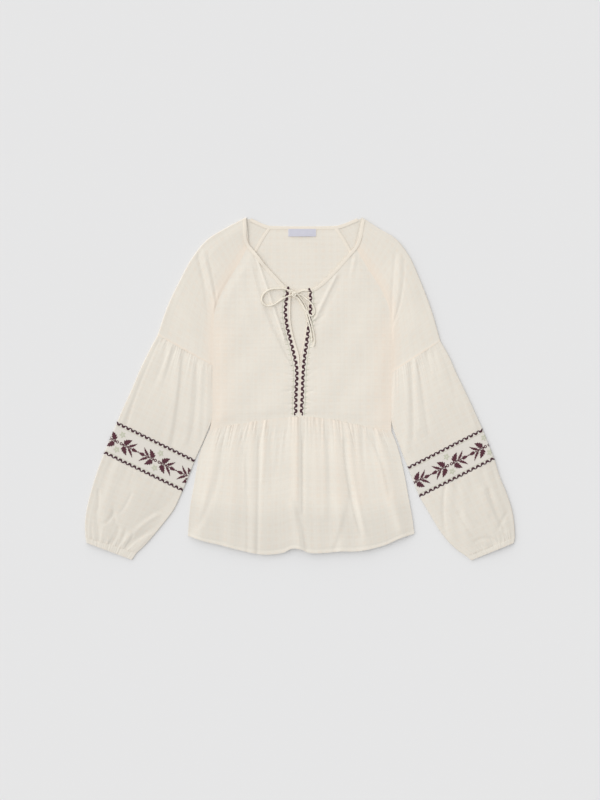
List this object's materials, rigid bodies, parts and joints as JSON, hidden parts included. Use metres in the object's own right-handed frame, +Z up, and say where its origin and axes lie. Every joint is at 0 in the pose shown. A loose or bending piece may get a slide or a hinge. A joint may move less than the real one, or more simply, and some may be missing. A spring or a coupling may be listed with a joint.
{
  "type": "embroidered folk blouse laid flat",
  "caption": "Light cotton folk blouse laid flat: raglan shoulders, embroidered bands in full gathered sleeves, keyhole neck with a thin tie, gathered peplum.",
  "frame": {"origin": "middle of the blouse's outline on the surface that it lies on", "axes": "+X to the right of the picture, which is the wearer's left; +Y from the hem to the neck; +Z up from the surface, out of the front"},
  "size_m": [0.806, 0.6427, 0.009],
  "materials": {
    "cotton_gauze": "soft cream cotton gauze with a faint slub, matte",
    "band_cloth": "crisper off-white cotton with burgundy and pale sage embroidery, matte",
    "bias_trim": "narrow cream bias binding of the same cotton, matte",
    "rouleau": "thin cream rouleau cord of the same cotton, matte",
    "label_weave": "plain pale woven tab, blank"
  },
  "bodies": {
    "root": {"back_bodice": "cotton_gauze", "front_left": "cotton_gauze", "front_right": "cotton_gauze", "raglan_left": "cotton_gauze", "raglan_right": "cotton_gauze", "sleeve_left": "cotton_gauze", "sleeve_right": "cotton_gauze", "lower_sleeve_left": "cotton_gauze", "lower_sleeve_right": "cotton_gauze", "cuff_left": "cotton_gauze", "cuff_right": "cotton_gauze", "peplum_front": "cotton_gauze", "peplum_back": "cotton_gauze", "band_left": "band_cloth", "band_right": "band_cloth", "binding_back": "bias_trim", "binding_left": "bias_trim", "binding_right": "bias_trim", "label": "label_weave", "tie_run_left": "rouleau", "tie_run_right": "rouleau", "tie_loop_left": "rouleau", "tie_loop_right": "rouleau", "tie_tail_long": "rouleau", "tie_tail_short": "rouleau", "tie_knot": "rouleau"}
  },
  "joints": []
}
